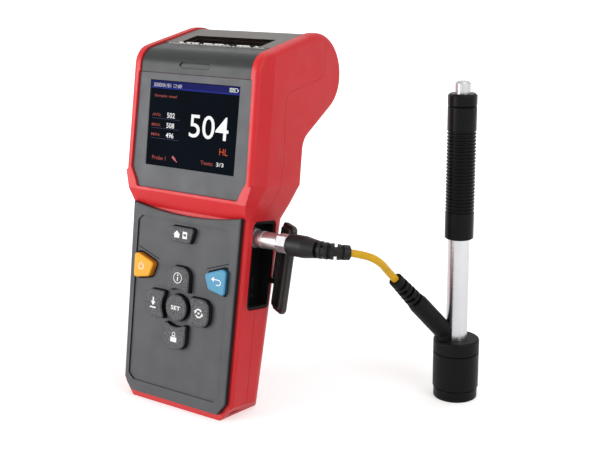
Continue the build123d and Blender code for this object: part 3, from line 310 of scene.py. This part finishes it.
def make_finishes():
    """Every finish by its name, which is a material slot's or a print colour's."""
    made = [
        Finish("red_housing", 0.45, gloss=0.38, edge=0.5)
        .paint((0.62, 0.013, 0.018), 0.04, 0.03).sheen_drift(0.4, 0.5).grain(0.00035, 0.00001),
        Finish("dark_steel", 0.4, metal=1.0).paint((0.06, 0.06, 0.065)).grain(0.0003, 0.00001),
        Finish("grey_bezel", 0.5, gloss=0.25, edge=0.2).paint((0.092, 0.094, 0.101), 0.05)
        .sheen_drift(0.45, 0.58).grain(0.0003, 0.00001),
        Finish("circuit", 0.5).paint((0.02, 0.16, 0.06), 0.3, 0.006).grain(0.001, 0.00005),
        # The keypad and the keys get painted shade on their sides
        Finish("keypad_grey", 0.55, gloss=0.22).paint((0.085, 0.086, 0.092), 0.08)
        .sides(KEYPAD_SIDE_SHADE).sheen_drift(0.5, 0.62).grain(0.0003, 0.000015),
        speckled("key_rubber", (0.05, 0.05, 0.053), (0.15, 0.15, 0.156), 0.62)
        .sides(KEY_SIDE_SHADE),
        Finish("yellow_rubber", 0.5, gloss=0.25, edge=0.25).paint((0.85, 0.38, 0.02), 0.05)
        .sides(YELLOW_SIDE_SHADE).grain(0.0003, 0.00001),
        Finish("blue_rubber", 0.5, gloss=0.25, edge=0.25).paint((0.085, 0.3, 0.47), 0.06)
        .sides(BLUE_SIDE_SHADE).grain(0.0003, 0.00001),
        Finish("dome_film", 0.35).paint((0.7, 0.7, 0.66)),
        Finish("battery_wrap", 0.3).paint((0.06, 0.12, 0.42), 0.1).grain(0.004, 0.0001),
        Finish("black_plastic", 0.5, gloss=0.12).paint((0.006, 0.006, 0.007), 0.2)
        .grain(0.0003, 0.00002),
        Finish("chrome", 0.3, metal=0.85, edge=0.15).paint((0.48, 0.48, 0.49), 0.05)
        .sheen_drift(0.28, 0.38, 0.002),
        Finish("steel", 0.25, metal=1.0).paint((0.5, 0.5, 0.52), 0.05)
        .grain(0.0002, 0.000008, stretch=(12, 1, 1)),
        Finish("tear_steel", 0.4, metal=1.0).paint((0.09, 0.085, 0.08), 0.1)
        .grain(0.0002, 0.00001, stretch=(12, 1, 1)),
        Finish("flap_rubber", 0.45, gloss=0.4, edge=0.4).paint((0.02, 0.015, 0.015), 0.2)
        .sheen_drift(0.42, 0.6).grain(0.0004, 0.00002),
        # Front cover, with painted light in its thumb recess
        Finish("cover_gloss", 0.36, gloss=0.2, edge=0.2).paint((0.034, 0.036, 0.036), 0.08)
        .patch(THUMB_BOX, THUMB_PAINTED_LIGHT, 0.5).sheen_drift(0.32, 0.4),
        Finish("lid_grey", 0.45, gloss=0.25, edge=0.2).paint((0.15, 0.138, 0.128), 0.06)
        .grain(0.0003, 0.00001),
        Finish("roller_rubber", 0.6, gloss=0.2).paint((0.02, 0.02, 0.02), 0.2)
        .grain(0.0004, 0.00002),
        Finish("gear_plastic", 0.4).paint((0.75, 0.73, 0.66), 0.05),
        Finish("brass", 0.25, metal=1.0).paint((0.75, 0.52, 0.2), 0.08),
        Finish("motor_can", 0.3, metal=1.0).paint((0.5, 0.5, 0.52), 0.06)
        .grain(0.0003, 0.00001, stretch=(10, 1, 1)),
        Finish("aluminium", 0.35, metal=1.0).paint((0.72, 0.72, 0.73), 0.05)
        .grain(0.0003, 0.00001),
        Finish("thermal_paper", 0.7, gloss=0.1).paint((0.85, 0.85, 0.83), 0.03)
        .torn(*PAPER_END).grain(0.0005, 0.00003, stretch=(20, 1, 1)),
        Finish("boot_rubber", 0.42, gloss=0.2, edge=0.2).paint((0.009, 0.009, 0.01), 0.2)
        .sheen_drift(0.36, 0.5).grain(0.0004, 0.000015),
        Finish("yellow_cable", 0.42, gloss=0.25).paint((0.72, 0.4, 0.01), 0.06)
        .grain(0.0005, 0.00001),
        Finish("black_anodised", 0.42, gloss=0.1, edge=0.2)
        .paint((0.004, 0.004, 0.0045), 0.15).sheen_drift(0.36, 0.48)
        .grain(0.00025, 0.00001, stretch=(4, 4, 1)),
        Finish("copper_coil", 0.3, metal=1.0).paint((0.72, 0.3, 0.12), 0.1)
        .grain(0.00015, 0.00005, stretch=(40, 40, 1)),
        Finish("silver_tube", 0.28, metal=1.0).paint((0.56, 0.56, 0.58), 0.03)
        .sheen_drift(0.22, 0.34, 0.001, stretch=(1, 1, 30)).grain(0.0002, 0.000004, stretch=(6, 6, 1)),
        Finish("black_moulding", 0.5, gloss=0.1, edge=0.2)
        .paint((0.005, 0.005, 0.0055), 0.2).grain(0.0003, 0.00002),
        Finish("carbide", 0.12, metal=1.0).paint((0.35, 0.35, 0.36), 0.05),
        Finish("spring_steel", 0.22, metal=1.0).paint((0.5, 0.5, 0.52), 0.06),
        Finish("black_sleeve", 0.3, gloss=0.1, edge=0.15).paint((0.003, 0.003, 0.003), 0.15)
        .sheen_drift(0.25, 0.36, 0.002, stretch=(1, 1, 12)),
        Finish("white_print", 0.5, gloss=0.2).paint((0.85, 0.85, 0.85), 0.03, 0.002),
        # Painted shade for the joints round the coloured keys
        Finish("seam_shade", 0.7, gloss=0.05).paint((0.012, 0.012, 0.013), 0.1, 0.002),
        Finish("screen_glass", 0.25, gloss=0.003).paint((0.001, 0.0016, 0.003), 0.1, 0.02)
        .sheen_drift(0.2, 0.3, 0.02).glow((0.002, 0.0035, 0.0065), 0.6, 0.03),
        lit("screen_bar", (0.006, 0.008, 0.11)),
        lit("screen_bar_low", (0.012, 0.022, 0.22)),
        lit("screen_white", (1.0, 1.0, 1.0)),
        lit("screen_red", (0.36, 0.075, 0.055)),
        lit("screen_orange", (0.62, 0.085, 0.025)),
        lit("screen_pink", (0.6, 0.16, 0.17)),
        lit("screen_line", (0.04, 0.045, 0.1)),
        lit("screen_pale", (0.55, 0.68, 0.48)),
        Finish("smoked_window", 0.12, gloss=0.1).paint((0.2, 0.11, 0.08), 0.05).see_through(1.01),
    ]
    return {finish.name: finish.material for finish in made}


def dress_nodes(finishes):
    """Gives each CAD node the finish of its material slot, or its own."""
    for name, node in nodes.items():
        node.data.materials.clear()
        node.data.materials.append(finishes[OWN_FINISH.get(name, slot_of[name])])


# Lead
def make_cable(finishes):
    curve = bpy.data.curves.new("cable_jacket", "CURVE")
    curve.dimensions = "3D"
    curve.bevel_depth = CABLE_DIAMETER / 2 * MM
    curve.bevel_resolution = 6
    curve.resolution_u = 24
    curve.use_fill_caps = True
    spline = curve.splines.new("NURBS")
    spline.points.add(len(CABLE_ROUTE) - 1)
    for point, place in zip(spline.points, CABLE_ROUTE):
        point.co = (*[v * MM for v in place], 1)
    spline.order_u = 3
    spline.use_endpoint_u = True
    jacket = put("cable_jacket", curve)
    curve.materials.append(finishes["yellow_cable"])
    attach(jacket, "root")
    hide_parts("probe_cable")


# Springs
def make_springs(finishes):
    """Coils with the shape of the CAD springs, put on their bodies in place of the CAD springs."""
    for name, (body, joint, seat, travel) in SPRINGS.items():
        coil = put(name.replace("spring", "coil"), nodes[name].data.copy())
        coil.data.materials.clear()
        coil.data.materials.append(finishes["spring_steel"])
        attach(coil, body)
        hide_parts(name)
        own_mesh(coil)


# Flat print on the meter's front
def front_place(x, y, z):
    """Matrix of a flat drawing that faces the front, at a point of the upright meter in millimetres."""
    return upright @ Matrix.Translation((x * MM, y * MM, z * MM)) @ Matrix.Rotation(math.pi / 2, 4, "X")


def disc(x, y, radius, sides=28):
    """Filled circle."""
    return [[(x + radius * math.cos(2 * math.pi * i / sides), y + radius * math.sin(2 * math.pi * i / sides))
             for i in range(sides)]]


def arc(x, y, radius, wide, start=0.0, end=360.0, steps=28):
    """Band of an arc, as quads. Angles in degrees, counter-clockwise from the right."""
    quads = []
    for i in range(steps):
        a0, a1 = (math.radians(start + (end - start) * k / steps) for k in (i, i + 1))
        inner, outer = radius - wide / 2, radius + wide / 2
        quads.append([(x + inner * math.cos(a0), y + inner * math.sin(a0)),
                      (x + outer * math.cos(a0), y + outer * math.sin(a0)),
                      (x + outer * math.cos(a1), y + outer * math.sin(a1)),
                      (x + inner * math.cos(a1), y + inner * math.sin(a1))])
    return quads


def bar(x0, y0, x1, y1, wide):
    """Straight stroke between two points."""
    along = Vector((x1 - x0, y1 - y0)).normalized()
    dx, dy = -along.y * wide / 2, along.x * wide / 2
    return [[(x0 + dx, y0 + dy), (x0 - dx, y0 - dy), (x1 - dx, y1 - dy), (x1 + dx, y1 + dy)]]


def block(x0, y0, x1, y1):
    """Rectangle between two corners."""
    return [[(x0, y0), (x1, y0), (x1, y1), (x0, y1)]]


def rounded(corners, radius, grow, steps=5):
    """Outline of a clockwise polygon with rounded corners, moved outwards by grow."""
    points, count = [], len(corners)
    for i, corner in enumerate(corners):
        here, before, after = (Vector(corners[k % count]) for k in (i, i - 1, i + 1))
        into, away = (here - before).normalized(), (after - here).normalized()
        first, last = Vector((-into.y, into.x)), Vector((-away.y, away.x))
        centre = here - (first + last) * radius / (1 + first.dot(last))
        for step in range(steps + 1):
            out = first.lerp(last, step / steps).normalized() * (radius + grow)
            points.append((centre.x + out.x, centre.y + out.y))
    return points


def band(corners, radius, inner, outer):
    """Band round a polygon with rounded corners, as quads."""
    near, far = rounded(corners, radius, inner), rounded(corners, radius, outer)
    return [[near[i - 1], near[i], far[i], far[i - 1]] for i in range(len(near))]


def drawing(name, shapes, place, body, material):
    """Flat shapes, in millimetres, printed on a body."""
    mesh = bpy.data.meshes.new(name)
    points, faces = [], []
    for shape in shapes:
        faces.append(list(range(len(points), len(points) + len(shape))))
        points += [(x * MM, y * MM, PRINT_THICK * MM) for x, y in shape]
    mesh.from_pydata(points, [], faces)
    mesh.materials.append(material)
    made = put(name, mesh)
    made.matrix_world = place
    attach(made, body)


def lettering(name, words, centre, wide, tall, place, body, material, bold=0.0):
    """Words that fill a box of the given size, in millimetres, about a centre on the drawing plane."""
    text = bpy.data.curves.new(name, "FONT")
    text.body = words
    text.size = 1.0
    text.offset = bold
    text.align_x, text.align_y = "CENTER", "CENTER"
    text.resolution_u = 4
    made = put(name, text)
    bpy.context.view_layer.update()
    corners = [Vector(c) for c in made.bound_box]
    low = Vector([min(c[i] for c in corners) for i in range(3)])
    high = Vector([max(c[i] for c in corners) for i in range(3)])
    scale = (wide * MM / (high.x - low.x), tall * MM / (high.y - low.y))
    shift = (centre[0] * MM - (low.x + high.x) / 2 * scale[0],
             centre[1] * MM - (low.y + high.y) / 2 * scale[1], PRINT_THICK * MM)
    made.matrix_world = place @ Matrix.Translation(shift) @ Matrix.Diagonal((*scale, 1, 1))
    text.materials.append(material)
    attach(made, body)


def make_lens(finishes):
    """Clear lens that fills the bezel's opening up to its front, over the display window."""
    gap, bevel = 0.05, 0.12
    wide, tall, deep = SCREEN_WIDE - 2 * gap, SCREEN_TALL - 2 * gap, WINDOW_FRONT - LENS_FRONT
    shape = bmesh.new()
    bmesh.ops.create_cube(shape, size=1.0)
    bmesh.ops.scale(shape, vec=(wide * MM, tall * MM, deep * MM), verts=shape.verts)
    bmesh.ops.bevel(shape, geom=shape.edges, offset=bevel * MM, segments=2, affect="EDGES")
    mesh = bpy.data.meshes.new("display_lens")
    shape.to_mesh(mesh)
    shape.free()
    mesh.materials.append(finishes["screen_glass"])
    lens = put("display_lens", mesh)
    lens.matrix_world = front_place(SCREEN_LEFT + SCREEN_WIDE / 2, (WINDOW_FRONT + LENS_FRONT) / 2,
                                    SCREEN_TOP - SCREEN_TALL / 2)
    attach(lens, "root")


# Display, laid out in shares of the screen's width and height from its top left corner
def make_display(finishes):
    place = front_place(0, LENS_FRONT, 0)

    def spot(u, v):
        return SCREEN_LEFT + u * SCREEN_WIDE, SCREEN_TOP - v * SCREEN_TALL

    def words(name, text, u0, u1, v0, v1, colour, bold=0.0):
        (x0, y0), (x1, y1) = spot(u0, v0), spot(u1, v1)
        lettering(name, text, ((x0 + x1) / 2, (y0 + y1) / 2), x1 - x0, y0 - y1, place, "root",
                  finishes[colour], bold)

    def draw(name, shapes, colour):
        drawing(name, shapes, place, "root", finishes[colour])

    def area(name, u0, u1, v0, v1, colour):
        draw(name, block(*spot(u0, v1), *spot(u1, v0)), colour)

    area("screen_header", 0.006, 0.994, 0.008, 0.08, "screen_bar")
    area("screen_header_line", 0.006, 0.994, 0.08, 0.098, "screen_bar_low")
    words("screen_clock", "2000/01/01 12:00", 0.036, 0.36, 0.035, 0.078, "screen_white", 0.01)
    words("screen_material", "Sample: steel", 0.054, 0.31, 0.165, 0.205, "screen_red", 0.012)
    rows = [("avg", "AVG:", "502", 0.387, 0.444), ("max", "MAX:", "508", 0.505, 0.557),
            ("min", "MIN:", "496", 0.62, 0.677)]
    for name, label, value, top, line in rows:
        words("screen_" + name, label, 0.041, 0.143, top, top + 0.034, "screen_red", 0.01)
        words("screen_" + name + "_value", value, 0.213, 0.302, top - 0.016, top + 0.044, "screen_white",
              0.008)
        area("screen_" + name + "_line", 0.04, 0.36, line, line + 0.006, "screen_line")
    words("screen_reading", "504", 0.475, 0.907, 0.357, 0.622, "screen_white", 0.004)
    words("screen_unit", "HL", 0.825, 0.916, 0.71, 0.783, "screen_orange")
    words("screen_probe", "Probe 1", 0.07, 0.228, 0.884, 0.93, "screen_red", 0.01)
    words("screen_count", "Tests:", 0.626, 0.765, 0.874, 0.917, "screen_red", 0.01)
    words("screen_count_value", "3/3", 0.799, 0.88, 0.872, 0.917, "screen_white", 0.005)
    x, y = spot(0.331, 0.896)
    pen = bar(x - 1.3, y + 0.9, x + 0.4, y - 0.5, 1.0) + bar(x + 0.4, y - 0.5, x + 1.4, y - 1.3, 0.45)
    draw("screen_pen", pen, "screen_pink")
    x, y = spot(0.886, 0.07)
    draw("screen_battery", block(x + 0.25, y + 0.3, x + 3.1, y + 1.4), "screen_pale")
    case = [(x, y), (x, y + 1.7), (x + 4.3, y + 1.7), (x + 4.3, y)]
    draw("screen_battery_case", band(case, 0.3, -0.22, 0) + block(x + 4.4, y + 0.5, x + 4.75, y + 1.2),
         "screen_white")


# Symbols on the keys
def key_place(key):
    """Matrix of a flat drawing about the middle of a key's face."""
    x, z = KEY_PLACES[key]
    return front_place(x, KEY_FRONT, z)


def make_symbols(finishes):
    white = finishes["white_print"]
    house = [[(-4.0, -0.2), (-2.1, 1.6), (-0.2, -0.2)]] + block(-3.5, -1.5, -0.7, -0.1)
    card = block(1.1, -1.5, 3.6, -0.4) + block(1.1, 0.5, 3.6, 1.5) + block(1.1, -0.5, 1.6, 0.6) \
        + block(3.1, -0.5, 3.6, 0.6)
    power = arc(0, 0, 1.35, 0.35, 125, 415) + bar(0, 0.4, 0, 2.0, 0.35)
    back = bar(-1.9, 0.9, 1.0, 0.9, 0.42) + arc(1.0, -0.2, 1.1, 0.42, 90, -90) \
        + bar(-0.2, -1.3, 1.0, -1.3, 0.42) + [[(-3.0, 0.9), (-1.5, 2.0), (-1.5, -0.2)]]
    info = arc(0, 0, 2.2, 0.32) + bar(0, -1.3, 0, 0.4, 0.55) + disc(0, 1.2, 0.36)
    down = bar(0, 2.6, 0, 0.4, 0.8) + [[(-1.3, 0.7), (0, -1.1), (1.3, 0.7)]] + block(-1.7, -2.2, 1.7, -1.6)
    cycle = arc(-0.1, 0, 1.7, 0.6, 30, 150) + arc(0.1, 0, 1.7, 0.6, 210, 330) \
        + [[(-2.5, 0.9), (-0.9, 1.2), (-1.9, -0.5)], [(2.5, -0.9), (0.9, -1.2), (1.9, 0.5)]] \
        + block(-0.5, -0.4, 0.5, 0.4)
    printing = block(-1.7, -2.0, 1.7, 0.1) + block(-1.1, 0.45, 1.1, 0.75) + arc(0, 1.5, 0.75, 0.3)
    symbols = {"home_key": house + card, "power_key": power, "back_key": back, "info_key": info,
               "down_key": down, "cycle_key": cycle, "print_key": printing}
    for key, shapes in symbols.items():
        drawing(key + "_symbol", shapes, key_place(key), key, white)
    lettering("set_key_word", "SET", (0, 0), 5.2, 1.8, key_place("set_key"), "set_key", white,
              0.02)


def make_seams(finishes):
    """Painted shade in the joints round the two coloured keys, and in the line from each to the field's
    edge.
    """
    (x0, z0), (x1, z1) = SEAM_LINE
    for side, name in ((1, "power"), (-1, "back")):
        outline = [(side * x, z) for x, z in SEAM_CORNERS][::side]
        shapes = band(outline, SEAM_ROUND, SEAM_INNER, SEAM_OUTER) \
            + bar(side * x0, z0, side * x1, z1, SEAM_LINE_WIDE)
        drawing(name + "_key_seam", shapes, front_place(0, FIELD_FRONT, 0), "root", finishes["seam_shade"])


# Floor, light and background
def seen_or_mirrored(tree):
    """1 for rays from the camera, a reflection or glass, and 0 for the light that falls on the object."""
    path = tree.nodes.new("ShaderNodeLightPath")
    share = path.outputs["Is Camera Ray"]
    for name in ("Is Glossy Ray", "Is Transmission Ray"):
        either = tree.nodes.new("ShaderNodeMath")
        either.operation = "MAXIMUM"
        tree.links.new(share, either.inputs[0])
        tree.links.new(path.outputs[name], either.inputs[1])
        share = either.outputs[0]
    return share


def between(tree, source, limits, values):
    """Maps a value from its limits to two values."""
    made = tree.nodes.new("ShaderNodeMapRange")
    tree.links.new(source, made.inputs["Value"])
    made.inputs["From Min"].default_value, made.inputs["From Max"].default_value = limits
    made.inputs["To Min"].default_value, made.inputs["To Max"].default_value = values
    return made.outputs["Result"]


def make_world():
    world = bpy.data.worlds.new("studio")
    bpy.context.scene.world = world
    world.use_nodes = True
    tree = world.node_tree
    background = tree.nodes["Background"]
    background.inputs["Color"].default_value = (1, 1, 1, 1)
    strength = between(tree, seen_or_mirrored(tree), (0, 1), (SURROUNDINGS_LIGHT, 1.0))
    tree.links.new(strength, background.inputs["Strength"])


def floor_material():
    """Pale floor that takes soft shadows, with a white of its own that grows away from the object."""
    material = bpy.data.materials.new("floor_white")
    material.use_nodes = True
    tree = material.node_tree
    tree.nodes.remove(tree.nodes["Principled BSDF"])
    diffuse = tree.nodes.new("ShaderNodeBsdfDiffuse")
    diffuse.inputs["Color"].default_value = FLOOR_COLOUR
    light = tree.nodes.new("ShaderNodeEmission")
    spot = tree.nodes.new("ShaderNodeNewGeometry")
    far = tree.nodes.new("ShaderNodeVectorMath")
    far.operation = "LENGTH"
    tree.links.new(spot.outputs["Position"], far.inputs[0])
    share = tree.nodes.new("ShaderNodeMath")
    share.operation = "MULTIPLY"
    tree.links.new(seen_or_mirrored(tree), share.inputs[0])
    tree.links.new(between(tree, far.outputs["Value"], FLOOR_FADE, FLOOR_GLOW), share.inputs[1])
    tree.links.new(share.outputs[0], light.inputs["Strength"])
    both = tree.nodes.new("ShaderNodeAddShader")
    tree.links.new(diffuse.outputs[0], both.inputs[0])
    tree.links.new(light.outputs[0], both.inputs[1])
    tree.links.new(both.outputs[0], tree.nodes["Material Output"].inputs["Surface"])
    return material


def make_floor():
    mesh = bpy.data.meshes.new("floor")
    corners = [(-1, -1), (1, -1), (1, 1), (-1, 1)]
    mesh.from_pydata([(x * FLOOR_REACH, y * FLOOR_REACH, 0) for x, y in corners], [], [(0, 1, 2, 3)])
    mesh.materials.append(floor_material())
    floor = put("floor", mesh)


def make_lamps():
    for name, place, size, power in LAMPS:
        lamp = bpy.data.lights.new(name, "AREA")
        lamp.size = size
        lamp.energy = power
        made = put(name, lamp)
        made.location = place
        aim = Vector(LAMP_AIM) - Vector(place)
        made.rotation_euler = aim.to_track_quat("-Z", "Y").to_euler()


set_camera()
finishes = make_finishes()
dress_nodes(finishes)
make_cable(finishes)
make_springs(finishes)
make_lens(finishes)
make_display(finishes)
make_symbols(finishes)
make_seams(finishes)
make_world()
make_floor()
make_lamps()
bpy.context.scene.view_settings.view_transform = "Standard"
